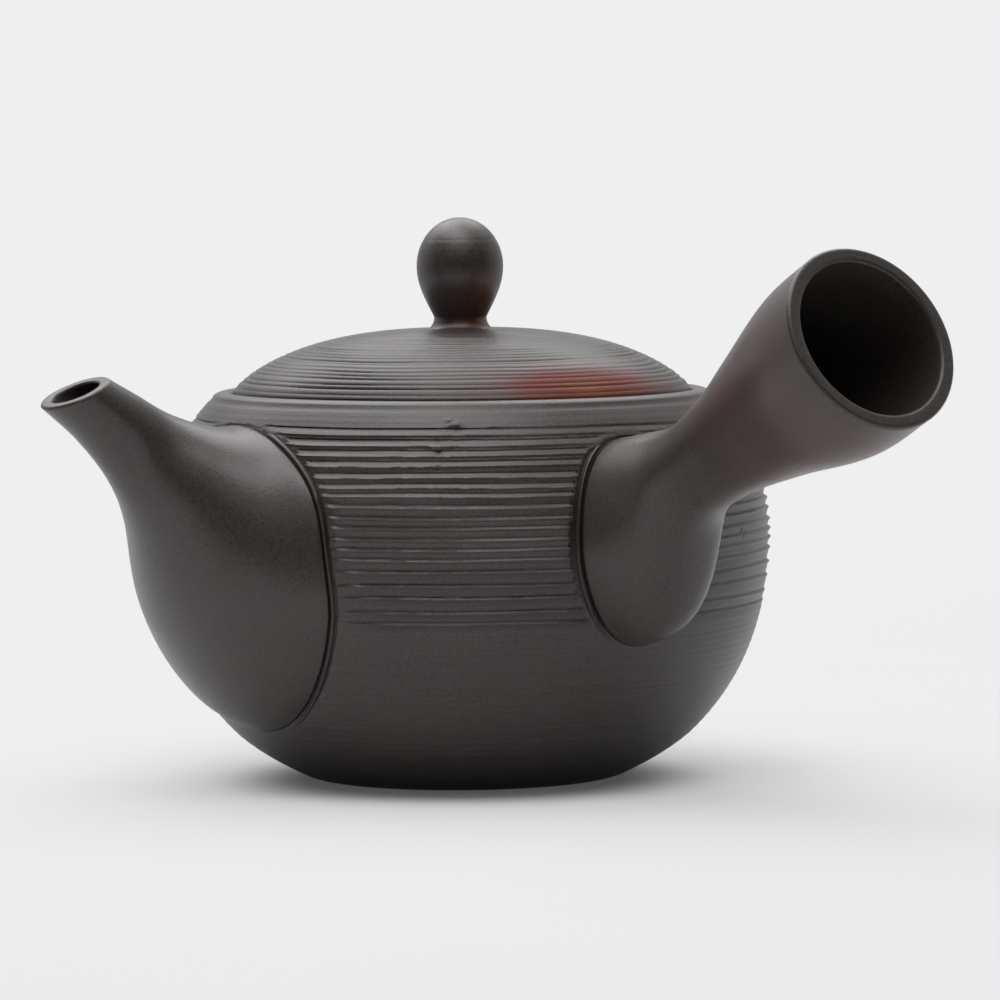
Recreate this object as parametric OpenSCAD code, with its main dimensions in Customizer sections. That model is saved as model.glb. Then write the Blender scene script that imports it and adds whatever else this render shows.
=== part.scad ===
// Side-handled teapot in unglazed stoneware, with a comb-turned body and a lift-off lid.
// The pot stands on z = 0 with its turning axis on Z; the spout points to -X, the handle to -Y.
// Lengths are in millimetres.

/* [Body] */
// Widest radius of the body
body_r = 52.2; // [47:0.1:58]
// Height of the widest ring
belly_z = 41; // [37:0.1:45]
// Radius of the foot on the table
foot_r = 28.5; // [22:0.1:34]
// Radius of the shoulder under the lip
shoulder_r = 42.4; // [39:0.1:45]
// Thickness of the wall
wall = 3; // [2.4:0.1:3.6]
// Thickness of the floor
floor_t = 3.2; // [2.5:0.1:5]
// Small chamfer where the wall meets the table
foot_ease = 0.6; // [0.2:0.1:1.2]

/* [Rim and lid seat] */
// Height of the lip's crest
rim_z = 66.2; // [63:0.1:70]
// Radius of the lip's half-round section
lip_round = 1.1; // [0.8:0.1:1.4]
// How far the lip stands in from the shoulder
lip_set = 1.15; // [0.6:0.05:2]
// Drop from the lip's crest to the soft groove under it
lip_groove_drop = 1.7; // [1.5:0.1:2.2]
// Depth of the soft groove under the lip
lip_groove = 0.5; // [0.2:0.1:0.7]
// Half the width of that groove
lip_groove_half = 0.8; // [0.5:0.1:1]
// Drop from the lip's crest to the ledge that carries the lid
ledge_drop = 2.6; // [2:0.1:3.4]
// Width of the ledge
ledge_w = 3.25; // [2:0.05:4.5]
// Thickness of the ledge at the throat
ledge_t = 2.6; // [2:0.1:3.2]
// Height that the ledge's sloping underside takes
ledge_slope = 3.9; // [3:0.1:5]

/* [Comb lines] */
// Height of the lowest comb line
comb_low = 30.1; // [24:0.1:36]
// Smooth band between the lip's crest and the top comb line
comb_band = 4.9; // [4.4:0.1:10]
// Distance between comb lines
comb_pitch = 1.83; // [1.5:0.01:3]
// Depth of a comb line
comb_depth = 0.3; // [0.1:0.05:0.5]
// Half the width of a comb line
comb_half = 0.3; // [0.2:0.05:0.5]

/* [Lid] */
// Side play between the lid's edge and the lip
lid_play = 0.35; // [0.3:0.05:0.6]
// Height of the lid's upright edge above the ledge
lid_edge = 2; // [1.4:0.1:2.4]
// Rise of the dome above the edge
lid_rise = 10.3; // [8:0.1:14]
// Thickness of the dome
lid_t = 3.2; // [2.5:0.1:4]
// Side play between the lid's skirt and the throat
skirt_play = 0.5; // [0.35:0.05:1]
// Depth of the skirt under the ledge
skirt_depth = 6; // [4:0.1:9]
// Thickness of the skirt
skirt_t = 2.4; // [1.8:0.1:3]
// Distance between the turned rings on the dome
lid_ring_pitch = 1.9; // [1.6:0.1:3]
// Depth of a turned ring
lid_ring_depth = 0.2; // [0.1:0.05:0.3]
// Half the width of a turned ring
lid_ring_half = 0.3; // [0.2:0.05:0.5]
// Plain width left outside the outermost ring
lid_ring_margin = 2.4; // [2:0.1:5]
// Diameter of the steam vent
vent_d = 3; // [2:0.1:4]
// Distance of the vent from the lid's centre
vent_r = 24; // [14:0.5:28]
// Direction of the vent from the lid's centre, in degrees from +X
vent_turn = 55; // [0:1:359]

/* [Knob] */
// Radius of the knob's foot on the lid
knob_foot_r = 5.3; // [4.9:0.1:6.5]
// Radius of the knob's neck
knob_neck_r = 4.57; // [3.5:0.01:4.8]
// Height of the neck above the lid
knob_neck_h = 1.4; // [0.8:0.1:2.5]
// Widest radius of the knob
knob_r = 7.29; // [5.5:0.01:9]
// Height of the widest ring above the lid
knob_wide_h = 9.6; // [7:0.1:12]
// Height of the whole knob
knob_h = 18.4; // [15:0.1:22]

/* [Spout] */
// How far the mouth's centre stands out past the widest ring
spout_out = 24.1; // [21:0.1:30]
// Height of the mouth's centre above the lip's crest
mouth_rise = 0.8; // [-1:0.1:4]
// Outer radius of the mouth
mouth_r = 6.05; // [5.4:0.05:7]
// Tilt of the mouth's axis above level, in degrees
mouth_tilt = 65; // [55:1:75]
// Thickness of the spout's wall
spout_wall = 2; // [1.5:0.1:2.4]
// Drop from the lip's crest to the top edge of the spout's base
spout_drop = 5.2; // [4.8:0.1:10]
// Height of the bottom edge of the spout's base
spout_low = 9.8; // [8:0.1:16]
// Half the width of the spout's base
spout_base_w = 26; // [22:0.1:28]

/* [Handle] */
// How far the open end's centre stands out past the widest ring
handle_out = 57.8; // [50:0.1:68]
// Height of the open end's centre above the lip's crest
handle_rise = 10.8; // [6:0.1:16]
// Outer radius of the open end
handle_r = 15.45; // [13:0.05:17]
// Tilt of the open end's axis above level, in degrees
handle_tilt = 27; // [22:1:32]
// Thickness of the handle's wall
handle_wall = 2.4; // [1.8:0.1:3]
// Half the width of the waist
waist_r = 8.3; // [7.4:0.1:9.6]
// Drop from the lip's crest to the top edge of the handle's base
handle_drop = 7.4; // [6.5:0.1:12]
// Height of the bottom edge of the handle's base
handle_low = 26; // [22:0.1:30]
// Half the width of the handle's base
handle_base_w = 15.2; // [13:0.1:17]

/* [Strainer] */
// Radius of the hole through the pot wall behind the spout
strainer_bore = 10; // [8:0.1:10.5]
// Width of the flat seat round that hole
seat_w = 2.2; // [1.8:0.1:2.6]
// Least depth of the flat seat in the wall
seat_cut = 0.45; // [0.4:0.05:0.8]
// Side play between the strainer and its seat
strainer_play = 0.2; // [0.1:0.05:0.4]
// Thickness of the strainer's rim
strainer_rim = 1.8; // [1.2:0.1:2.4]
// Height of the strainer's dome above its rim
strainer_dome = 5; // [4:0.1:7]
// Thickness of the strainer's dome
strainer_t = 1.2; // [1:0.1:1.6]
// Diameter of a strainer hole
hole_d = 1.4; // [1:0.1:1.6]
// Distance between rings of strainer holes
hole_pitch = 2.3; // [2:0.1:3]

/* [Joints of clay] */
// Radius of the luting coil round each base
coil_r = 0.6; // [0.4:0.05:1]
// Gap left between pieces that seat on a curved wall
seat_gap = 0.1; // [0.08:0.01:0.2]
// Height over which the open ends of spout and handle are rounded
rim_ease = 0.5; // [0.2:0.1:1]

/* [Hidden] */
$fn = 96;

// Colours of the fired clay
clay = [0.26, 0.245, 0.235];
clay_lid = [0.33, 0.31, 0.30];
clay_coil = [0.20, 0.17, 0.16];

// Exponents of the lid's dome, which is fuller than a sphere
dome_flat = 2.7;
dome_edge = 0.725;
// Exponent of the swell from the knob's neck to its widest ring
knob_swell = 1.3;

// Faces round and along the thrown tubes, and round and along a coil
tube_sides = 48;
tube_rings = 20;
coil_sides = 8;
coil_rings = 56;
// Points on a smooth stretch of a turned profile
arc_steps = 16;
// Halvings that find where a tube meets the pot
trim_steps = 24;
// Holes added by each ring of the strainer
holes_per_ring = 6;

// Parts of a tube's wall, from its outside, between which its open end is level
rim_from = 0.3;
rim_to = 0.7;

// Rails from the open end to the pot: share of the chord, and sag as a share of its length
spout_over = [[0, 0], [0.19, 0.036], [0.41, 0.08], [0.62, 0.089], [0.78, 0.07], [0.9, 0.03], [1, 0]];
spout_under = [[0, 0], [0.12, -0.029], [0.25, -0.029], [0.39, -0.006], [0.64, 0.072], [0.86, 0.071], [1, 0]];
handle_over = [[0, 0], [0.167, 0.008], [0.393, 0.05], [0.538, 0.078], [0.725, 0.089], [0.867, 0.048], [1, 0]];
handle_under = [[0, 0], [0.15, -0.009], [0.34, -0.064], [0.53, -0.109], [0.67, -0.125], [0.824, 0.015], [1, 0]];
// Growth of the spout's half width from its mouth to its base, at the same stations
spout_growth = [0, 0.012, 0.053, 0.29, 0.67, 0.97, 1];
// Share of the handle's narrowing to its waist, and of its growth from there to the base
handle_narrowing = [0, 0.09, 0.6, 0.93, 1];
handle_growth = [0.45, 1];

// Stations of a rail are counted from 0; a tube is clear of the pot at the first of these two
clear_station = 2;
last_station = 6;

// Arcs of the wall, from the widest ring down to the foot and up to the shoulder
lip_groove_z = rim_z - lip_groove_drop;
low_arc = arc_through(body_r - foot_r, belly_z);
high_arc = arc_through(body_r - shoulder_r, lip_groove_z - belly_z);

// Lip, ledge and lid
lip_in = shoulder_r - lip_set - 2 * lip_round;
ledge_z = rim_z - ledge_drop;
throat_r = lip_in - ledge_w;
lid_r = lip_in - lid_play;
lid_edge_z = ledge_z + lid_edge;
pad_z = dome(knob_foot_r);
skirt_r = throat_r - skirt_play;

// Seat of the strainer in the pot wall
seat_r = strainer_bore + seat_w;
seat_x = sqrt(pow(body_r - wall, 2) - pow(strainer_bore, 2)) + seat_cut;
strainer_r = seat_r - strainer_play;
hole_rings = floor((strainer_bore - strainer_t - hole_d / 2) / hole_pitch);

// Radius of an arc that starts upright and falls in by a depth over a height
function arc_through(depth, height) = (pow(depth, 2) + pow(height, 2)) / (2 * depth);

// Radius of the wall's arc at a height
function arc(z) = z < belly_z ? low_arc : high_arc;

// Outer radius of the smooth pot at a height
function wall_r(z) = body_r - arc(z) + sqrt(max(0, pow(arc(z), 2) - pow(z - belly_z, 2)));

// Inner radius of the pot at a height
function inner_r(z) = body_r - arc(z) + sqrt(max(0, pow(arc(z) - wall, 2) - pow(z - belly_z, 2)));

// Outward direction of the pot's wall at a point on it
function wall_normal(p) =
    let (centre = (body_r - arc(p[2])) / norm([p[0], p[1]]))
    [p[0] * (1 - centre), p[1] * (1 - centre), p[2] - belly_z] / arc(p[2]);

// Height of the lid's dome at a radius
function dome(r) = lid_edge_z + lid_rise * pow(1 - pow(r / lid_r, dome_flat), dome_edge);

// Evenly spaced numbers between two ends
function spread(from, to, steps) = [for (i = [0 : steps]) from + (to - from) * i / steps];

// Blend between two numbers
function mix(a, b, share) = a + (b - a) * share;

// Point at station t of a smooth curve through points or numbers
function curve(p, t) =
    let (n = len(p) - 1)
    let (i = min(floor(t), n - 1))
    let (f = t - i)
    let (a = i > 0 ? p[i - 1] : 2 * p[0] - p[1])
    let (b = p[i])
    let (c = p[i + 1])
    let (d = i + 2 <= n ? p[i + 2] : 2 * p[n] - p[n - 1])
    b + (c - a) * f / 2 + (2 * a - 5 * b + 4 * c - d) * f * f / 2 + (3 * b - a - 3 * c + d) * f * f * f / 2;

// Stations of a rail between two points, from its shares and sags
function rail(from, to, outline) =
    let (d = to - from)
    [for (s = outline) from + d * s[0] + [-d[1], d[0]] * s[1]];

// Point where a rail ends, on the inner face of the pot wall
function rail_end(z) = [wall_r(z) - wall, z];

// Edge of an open end on its upper (1) or lower (-1) side
function end_edge(end, r, tilt, side) = end + side * r * [-sin(tilt), cos(tilt)];

// Upper rail, lower rail and half widths of a tube from its open end to its base
function loft(end, r, tilt, top, low, over, under, widths) = [
    rail(end_edge(end, r, tilt, 1), rail_end(top), over),
    rail(end_edge(end, r, tilt, -1), rail_end(low), under),
    widths
];

spout_loft = loft(
    [body_r + spout_out, rim_z + mouth_rise], mouth_r, mouth_tilt, rim_z - spout_drop, spout_low,
    spout_over, spout_under, [for (share = spout_growth) mix(mouth_r, spout_base_w, share)]
);

handle_loft = loft(
    [body_r + handle_out, rim_z + handle_rise], handle_r, handle_tilt, rim_z - handle_drop, handle_low,
    handle_over, handle_under,
    concat(
        [for (share = handle_narrowing) mix(handle_r, waist_r, share)],
        [for (share = handle_growth) mix(waist_r, handle_base_w, share)]
    )
);

// Point of a loft at station t and angle a from its upper rail, moved inward by a thickness
function loft_point(loft, t, a, inward) =
    let (over = curve(loft[0], t))
    let (under = curve(loft[1], t))
    let (half = (over - under) / 2)
    let (uz = (over + under) / 2 + half * (1 - inward / norm(half)) * cos(a))
    [uz[0], (curve(loft[2], t) - inward) * sin(a), uz[1]];

// Station at which a loft's line at angle a reaches the pot, found by halving
function trim(loft, a, inward, near = clear_station, far = last_station, steps = trim_steps) =
    let (t = (near + far) / 2)
    let (p = loft_point(loft, t, a, inward))
    steps == 0 ? near
    : norm([p[0], p[1]]) > wall_r(p[2]) + seat_gap ? trim(loft, a, inward, t, far, steps - 1)
    : trim(loft, a, inward, near, t, steps - 1);

// Closed skin through a ring of loops that all have the same number of points
module looped_skin(loops) {
    n = len(loops);
    m = len(loops[0]);
    corners = [for (loop = loops) each loop];
    faces = [
        for (i = [0 : n - 1], j = [0 : m - 1])
        let (a = i * m + j)
        let (b = i * m + (j + 1) % m)
        let (c = ((i + 1) % n) * m + (j + 1) % m)
        let (d = ((i + 1) % n) * m + j)
        each [[a, b, c], [a, c, d]]
    ];
    polyhedron(corners, faces);
}

// Hollow tube on a loft, with a rounded open end and a base trimmed to the pot
module thrown_tube(loft, thick, tilt) {
    angles = [for (i = [0 : tube_sides - 1]) 360 * i / tube_sides];
    out_end = [for (a = angles) trim(loft, a, 0)];
    in_end = [for (a = angles) trim(loft, a, thick)];
    forward = rim_ease * [cos(tilt), 0, sin(tilt)];
    outside = [
        for (k = [tube_rings : -1 : 0])
        [for (i = [0 : tube_sides - 1]) loft_point(loft, out_end[i] * k / tube_rings, angles[i], 0)]
    ];
    rim = [
        for (share = [rim_from, rim_to])
        [for (a = angles) loft_point(loft, 0, a, share * thick) + forward]
    ];
    inside = [
        for (k = [0 : tube_rings])
        [for (i = [0 : tube_sides - 1]) loft_point(loft, in_end[i] * k / tube_rings, angles[i], thick)]
    ];
    looped_skin(concat(outside, rim, inside));
}

// Thin coil of clay pressed into the corner between a tube's base and the pot
module luting_coil(loft) {
    edge = [
        for (i = [0 : coil_rings - 1])
        let (a = 360 * i / coil_rings)
        loft_point(loft, trim(loft, a, 0), a, 0)
    ];
    loops = [
        for (i = [0 : coil_rings - 1])
        let (along = edge[(i + 1) % coil_rings] - edge[(i + coil_rings - 1) % coil_rings])
        let (up = wall_normal(edge[i]))
        let (out = cross(up, along / norm(along)))
        let (centre = edge[i] + (coil_r + seat_gap) * out + coil_r * up)
        [
            for (j = [0 : coil_sides - 1])
            let (turn = -360 * (j + 0.5) / coil_sides)
            centre + coil_r * (cos(turn) * out + sin(turn) * up)
        ]
    ];
    looped_skin(loops);
}

// Points of one turned line: its upper and lower edge lie on the smooth surface
function body_line(z) = [
    [wall_r(z - comb_half), z - comb_half],
    [wall_r(z) - comb_depth, z],
    [wall_r(z + comb_half), z + comb_half]
];

// Turned outside of the pot from the foot to the lip
function body_outside() =
    let (lines = floor((rim_z - comb_band - comb_low) / comb_pitch))
    concat(
        [[wall_r(0) - foot_ease, 0]],
        [for (z = spread(foot_ease, comb_low - comb_pitch / 2, arc_steps)) [wall_r(z), z]],
        [
            for (k = [0 : lines])
            let (z = comb_low + k * comb_pitch)
            let (ridge = z + comb_pitch / 2)
            each concat(body_line(z), [[wall_r(ridge), ridge]])
        ],
        [[wall_r(lip_groove_z - lip_groove_half), lip_groove_z - lip_groove_half]],
        [[wall_r(lip_groove_z) - lip_groove, lip_groove_z]]
    );

// Turned inside of the pot from the lip down to the floor
function body_inside() =
    let (slope_z = ledge_z - ledge_t - ledge_slope)
    concat(
        [[lip_in, ledge_z], [throat_r, ledge_z], [throat_r, ledge_z - ledge_t]],
        [for (z = spread(slope_z, belly_z, arc_steps)) [inner_r(z), z]],
        [for (z = spread(belly_z, floor_t, arc_steps)) if (z < belly_z) [inner_r(z), z]],
        [[0, floor_t]]
    );

// Half-round lip from its outer to its inner foot
function lip() =
    [for (a = spread(0, 180, arc_steps)) [lip_in + lip_round * (1 + cos(a)), rim_z - lip_round * (1 - sin(a))]];

module body() {
    color(clay)
    difference() {
        rotate_extrude()
            polygon(concat([[0, 0]], body_outside(), lip(), body_inside()));
        translate([0, 0, belly_z])
            rotate([0, -90, 0])
            cylinder(r = strainer_bore, h = body_r);
        translate([0, 0, belly_z])
            rotate([0, -90, 0])
            cylinder(r = seat_r, h = seat_x);
    }
}

module spout() {
    color(clay)
    rotate([0, 0, 180])
        thrown_tube(spout_loft, spout_wall, mouth_tilt);
}

module spout_coil() {
    color(clay_coil)
    rotate([0, 0, 180])
        luting_coil(spout_loft);
}

module handle() {
    color(clay)
    rotate([0, 0, -90])
        thrown_tube(handle_loft, handle_wall, handle_tilt);
}

module handle_coil() {
    color(clay_coil)
    rotate([0, 0, -90])
        luting_coil(handle_loft);
}

// Pierced dome behind the spout, bulging into the pot, on a flat rim in the pot wall
module strainer() {
    skin_r = strainer_bore - strainer_t;
    ball = (pow(strainer_bore, 2) + pow(strainer_dome, 2)) / (2 * strainer_dome);
    inner_ball = ball - strainer_t;
    centre_h = strainer_rim + strainer_dome - ball;
    color(clay)
    translate([-seat_x, 0, belly_z])
        rotate([0, 90, 0])
        difference() {
            union() {
                cylinder(r = strainer_r, h = strainer_rim);
                intersection() {
                    translate([0, 0, centre_h])
                        sphere(r = ball);
                    cylinder(r = strainer_bore, h = strainer_rim + strainer_dome);
                }
            }
            intersection() {
                translate([0, 0, centre_h])
                    sphere(r = inner_ball);
                translate([0, 0, -strainer_rim])
                    cylinder(r = skin_r, h = strainer_dome + 2 * strainer_rim);
            }
            for (ring = [0 : hole_rings])
                let (holes = max(1, holes_per_ring * ring))
                for (i = [0 : holes - 1])
                    rotate([0, 0, 360 * i / holes])
                    translate([ring * hole_pitch, 0, 0])
                    cylinder(d = hole_d, h = strainer_rim + 2 * strainer_dome, $fn = 24);
        }
}

// Points of one turned ring on the lid's dome
function lid_line(r) = [
    [r - lid_ring_half, dome(r - lid_ring_half)],
    [r, dome(r) - lid_ring_depth],
    [r + lid_ring_half, dome(r + lid_ring_half)]
];

// Turned outside of the lid from its knob pad to its edge
function lid_outside() =
    let (outermost = lid_r - lid_ring_margin)
    let (rings = floor((outermost - knob_foot_r) / lid_ring_pitch) - 1)
    concat(
        [[0, pad_z], [knob_foot_r, pad_z]],
        [
            for (k = [rings : -1 : 0])
            let (r = outermost - k * lid_ring_pitch)
            let (ridge = r - lid_ring_pitch / 2)
            each concat([[ridge, dome(ridge)]], lid_line(r))
        ],
        [
            for (a = spread(0, 90, arc_steps / 2))
            if (a > 0)
            let (r = mix(outermost + lid_ring_half, lid_r, sin(a)))
            [r, dome(r)]
        ]
    );

module lid() {
    skirt_in = skirt_r - skirt_t;
    color(clay_lid)
    difference() {
        rotate_extrude()
            polygon(concat(
                lid_outside(),
                [[lid_r, ledge_z], [skirt_r, ledge_z], [skirt_r, ledge_z - skirt_depth]],
                [[skirt_in, ledge_z - skirt_depth]],
                [for (r = spread(skirt_in, 0, arc_steps)) [r, dome(r) - lid_t]]
            ));
        rotate([0, 0, vent_turn])
            translate([vent_r, 0, ledge_z])
            cylinder(d = vent_d, h = 2 * (lid_edge + lid_rise));
    }
}

// Turned outline of the knob from its foot to its top
function knob_outside() =
    concat(
        [for (s = spread(0, 1, arc_steps / 4)) [mix(knob_foot_r, knob_neck_r, sin(90 * s)), knob_neck_h * s]],
        [
            for (s = spread(0, 1, arc_steps))
            if (s > 0)
            [mix(knob_neck_r, knob_r, pow(sin(90 * s), knob_swell)), mix(knob_neck_h, knob_wide_h, s)]
        ],
        [
            for (a = spread(0, 90, arc_steps))
            if (a > 0)
            [knob_r * cos(a), knob_wide_h + (knob_h - knob_wide_h) * sin(a)]
        ]
    );

module knob() {
    color(clay_lid)
    translate([0, 0, pad_z])
        rotate_extrude()
        polygon(concat([[0, 0]], knob_outside()));
}

body();
spout();
spout_coil();
handle();
handle_coil();
strainer();
lid();
knob();
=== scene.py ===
# %% [markdown]
# # A side-handled teapot in unglazed stoneware
# The pot is thrown on a wheel, combed while it turns, and joined to a thrown spout and a thrown handle
# with a thin coil of soft clay. A CAD model already fixes its sizes and the way the lid lifts. Here each
# visible piece is worked out again as a smooth surface, given a clay finish, and tied to the CAD body
# that it moves with. The model is loaded first, so that every later number sits in the same frame.

# %% Load the frame
import math
import bpy
import numpy as np
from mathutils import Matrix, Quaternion, Vector


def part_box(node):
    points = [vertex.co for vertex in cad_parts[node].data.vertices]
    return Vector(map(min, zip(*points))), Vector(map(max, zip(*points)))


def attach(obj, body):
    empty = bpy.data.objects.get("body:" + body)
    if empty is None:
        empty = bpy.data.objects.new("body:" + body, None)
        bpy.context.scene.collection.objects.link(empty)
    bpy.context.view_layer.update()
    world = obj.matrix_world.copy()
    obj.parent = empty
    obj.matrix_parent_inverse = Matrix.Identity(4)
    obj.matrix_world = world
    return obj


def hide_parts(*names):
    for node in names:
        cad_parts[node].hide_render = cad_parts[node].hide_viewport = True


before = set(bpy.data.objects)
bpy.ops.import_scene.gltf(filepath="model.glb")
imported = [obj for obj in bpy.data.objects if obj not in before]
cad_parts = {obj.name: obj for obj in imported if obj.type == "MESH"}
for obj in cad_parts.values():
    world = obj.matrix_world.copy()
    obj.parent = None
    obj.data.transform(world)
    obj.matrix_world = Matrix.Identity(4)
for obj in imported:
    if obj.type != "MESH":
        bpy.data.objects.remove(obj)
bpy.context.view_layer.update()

MM = 0.001
scene = bpy.context.scene

# %% [markdown]
# ## A camera where the photographer stood
# The picture was taken with a long lens, a little above the rim, with the handle 35 degrees to the right
# of the line of sight. A long lens flattens the ellipses of rim and lid, so the distance matters as much
# as the angle. The place of the camera is given in millimetres round the pot's own axis.

# %% Camera
camera_turn = math.radians(-35)
camera_distance = 970
camera_height = 112
aim_right, aim_up = 6.28, 46.5
camera_roll = math.radians(-0.5)
lens_mm, sensor_mm = 205.7, 36

towards_camera = Vector((math.sin(camera_turn), -math.cos(camera_turn), 0))
picture_right = Vector((math.cos(camera_turn), math.sin(camera_turn), 0))
camera_place = towards_camera * camera_distance + Vector((0, 0, camera_height))
aim = picture_right * aim_right + Vector((0, 0, aim_up))

camera = bpy.data.objects.new("camera", bpy.data.cameras.new("camera"))
scene.collection.objects.link(camera)
camera.data.lens, camera.data.sensor_width = lens_mm, sensor_mm
camera.data.clip_start, camera.data.clip_end = 0.05, 20
camera.location = camera_place * MM
camera.rotation_mode = "QUATERNION"
looking = (aim - camera_place).to_track_quat("-Z", "Y")
camera.rotation_quaternion = looking @ Quaternion((0, 0, 1), camera_roll)
scene.camera = camera
scene.view_settings.view_transform = "Standard"
print("camera at", [round(v, 3) for v in camera.location])

# %% [markdown]
# ## From a grid of points to a mesh
# Every piece is a surface with two parameters: one runs along a profile or a path, the other runs round
# it. The points are worked out as one array, and the faces follow from the counting alone: each point
# joins its neighbour round the loop and the same pair on the next loop. A revolved piece is closed at
# its poles by a fan, a tube by joining its last loop to its first.

# %% Grid to mesh
def grid_faces(loops, around, ring):
    """Quads between loop i and loop i + 1, round every loop; a ring also joins the last loop to the first."""
    here = np.arange(loops if ring else loops - 1)[:, None] * around
    there = (here + around) % (loops * around)
    j = np.arange(around)[None, :]
    after = (j + 1) % around
    return np.stack([here + j, here + after, there + after, there + j], -1).reshape(-1, 4)


def pole_faces(loops, around):
    """Triangles from the last loop to a point behind it, and from the first loop to a point before it."""
    j = np.arange(around)
    after = (j + 1) % around
    last = (loops - 1) * around
    pole = np.full(around, loops * around)
    return np.stack([last + j, last + after, pole], -1), np.stack([after, j, pole + 1], -1)


def make_piece(name, points, ring=False, open_start=False, **marks):
    """Mesh of a grid of points in millimetres; marks are numbers kept on each point for the finish."""
    loops, around, _ = points.shape
    corners = points.reshape(-1, 3)
    faces = grid_faces(loops, around, ring).tolist()
    ends = [] if ring else [-1] if open_start else [-1, 0]
    for end, fan in zip(ends, pole_faces(loops, around)):
        corners = np.concatenate([corners, points[end].mean(0)[None]])
        faces += fan.tolist()
    mesh = bpy.data.meshes.new(name)
    mesh.from_pydata(corners * MM, [], faces)
    for mark, values in marks.items():
        values = np.broadcast_to(values, (loops, around))
        flat = np.concatenate([values.ravel(), *[values[end, :1] for end in ends]]).astype(np.float32)
        mesh.attributes.new(mark, "FLOAT", "POINT").data.foreach_set("value", flat)
    mesh.shade_smooth()
    piece = bpy.data.objects.new(name, mesh)
    scene.collection.objects.link(piece)
    return piece


def dress(piece, body, node, material):
    """Gives a piece its finish, ties it to its body and lets it stand for its CAD node."""
    piece.data.materials.clear()
    piece.data.materials.append(material)
    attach(piece, body)
    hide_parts(node)
    corners = np.array(piece.bound_box)
    off = np.abs(np.array([corners.min(0), corners.max(0)]) - np.array(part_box(node))).max()
    triangles = sum(len(face.vertices) - 2 for face in piece.data.polygons)
    print(f"{piece.name}: {triangles} triangles, box within {off / MM:.2f} mm of the CAD node")


# %% [markdown]
# ## Words for a finish
# A material is a small graph. One function adds a node, and anything given as a socket is linked while
# anything else is set, so that each finish below reads as a list of what it is made of. Colours are
# written as they look on a screen and turned to linear light by one formula, and patterns are given by
# their real size: a noise whose grains are d millimetres wide needs a scale of one over d.

# %% Material helpers
def linear(colour):
    """sRGB hex to linear light: v / 12.92 below 0.04045, else ((v + 0.055) / 1.055) to the power 2.4."""
    srgb = np.array([int(colour[i:i + 2], 16) for i in (1, 3, 5)]) / 255
    light = np.where(srgb <= 0.04045, srgb / 12.92, ((srgb + 0.055) / 1.055) ** 2.4)
    return (*light.tolist(), 1.0)


def per(size_mm):
    """Scale of a pattern on object coordinates, in metres, whose features are size_mm wide."""
    return 1 / (size_mm * MM)


def add(tree, kind, inputs, **settings):
    """One node with its settings; an input given as a socket is linked, and any other value is set."""
    node = tree.nodes.new("ShaderNode" + kind)
    for key, value in settings.items():
        setattr(node, key, value)
    for key, value in inputs.items():
        if isinstance(value, bpy.types.NodeSocket):
            tree.links.new(value, node.inputs[key])
        else:
            node.inputs[key].default_value = value
    return node


def new_material(name):
    """Empty material with only its output node."""
    material = bpy.data.materials.new(name)
    material.use_nodes = True
    material.node_tree.nodes.clear()
    return material, add(material.node_tree, "OutputMaterial", {})


print("mid grey is", round(linear("#808080")[0], 3), "in linear light")

# %% [markdown]
# ## A white table and soft light from above
# Small pottery is shot on a white sweep under wide soft boxes, with others behind it and a weak one in
# front. The floor is a disc that fades out into the same white as the world, so no horizon
# shows. Only the camera sees the world at full white: as light it is weaker, and reflections see it dark
# on the camera's side, where a studio is dark. So the clay keeps its depth. The sheet also has a painted
# white glow, seen by the camera and a little in reflections, that grows away from the pot: painted light
# that lifts the pot's shadow and gives no light to the pot itself.

# %% Floor
paper_white = "#efeff0"
floor_r, floor_steps, floor_sides = 900, 24, 96
fade_from_mm, fade_to_mm = 260, 520
dim_before_mm, mirrored_share, paper_cloud_mm = 8, 0.3, 40.0
# Painted glow that lifts the shadow: from and to which distance in millimetres, its strength at both,
# and how it grows
shadow_lift_steps = [(26, 46, 0.0, 0.38, "SMOOTHSTEP"), (26, 125, 0.08, 0.36, "LINEAR")]

floor_turn = np.linspace(0, 2 * np.pi, floor_sides, endpoint=False)
floor_ring = np.linspace(floor_r, 1, floor_steps)[:, None]
floor = make_piece("floor", np.stack([
    floor_ring * np.cos(floor_turn), floor_ring * np.sin(floor_turn), np.zeros((floor_steps, floor_sides)),
], -1), open_start=True)

# Matt paper with a painted glow that lifts its shadow: no gloss and a hardly seen cloudiness, so that
# only a soft shadow draws on it
paper, paper_out = new_material("matt_white_paper")
tree = paper.node_tree
place = add(tree, "TexCoord", {}).outputs["Object"]
distance = add(tree, "VectorMath", {0: place}, operation="LENGTH").outputs["Value"]
fade = add(tree, "MapRange", {
    "Value": distance, "From Min": fade_from_mm * MM, "From Max": fade_to_mm * MM,
}, interpolation_type="SMOOTHSTEP").outputs[0]
grain = add(tree, "TexNoise", {"Vector": place, "Scale": per(paper_cloud_mm), "Detail": 2.0}).outputs["Fac"]
tone = add(tree, "Mix", {0: grain, 6: linear("#e9e9ea"), 7: linear("#ececed")}, data_type="RGBA").outputs[2]
matt = add(tree, "BsdfPrincipled", {
    "Base Color": tone, "Roughness": 0.9, "Specular IOR Level": 0.1,
}).outputs[0]
clear = add(tree, "BsdfTransparent", {}).outputs[0]
painted_glow = add(tree, "Emission", {"Color": linear(paper_white)}).outputs[0]
ray = add(tree, "LightPath", {}).outputs
seen = add(tree, "Math", {
    0: ray["Is Camera Ray"], 1: ray["Is Transmission Ray"],
}, operation="MAXIMUM").outputs[0]
seen = add(tree, "Math", {
    0: ray["Is Glossy Ray"], 1: mirrored_share, 2: seen,
}, operation="MULTIPLY_ADD").outputs[0]
dim_place = towards_camera * dim_before_mm * MM
reach = add(tree, "VectorMath", {0: place, 1: dim_place}, operation="DISTANCE").outputs["Value"]
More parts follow.
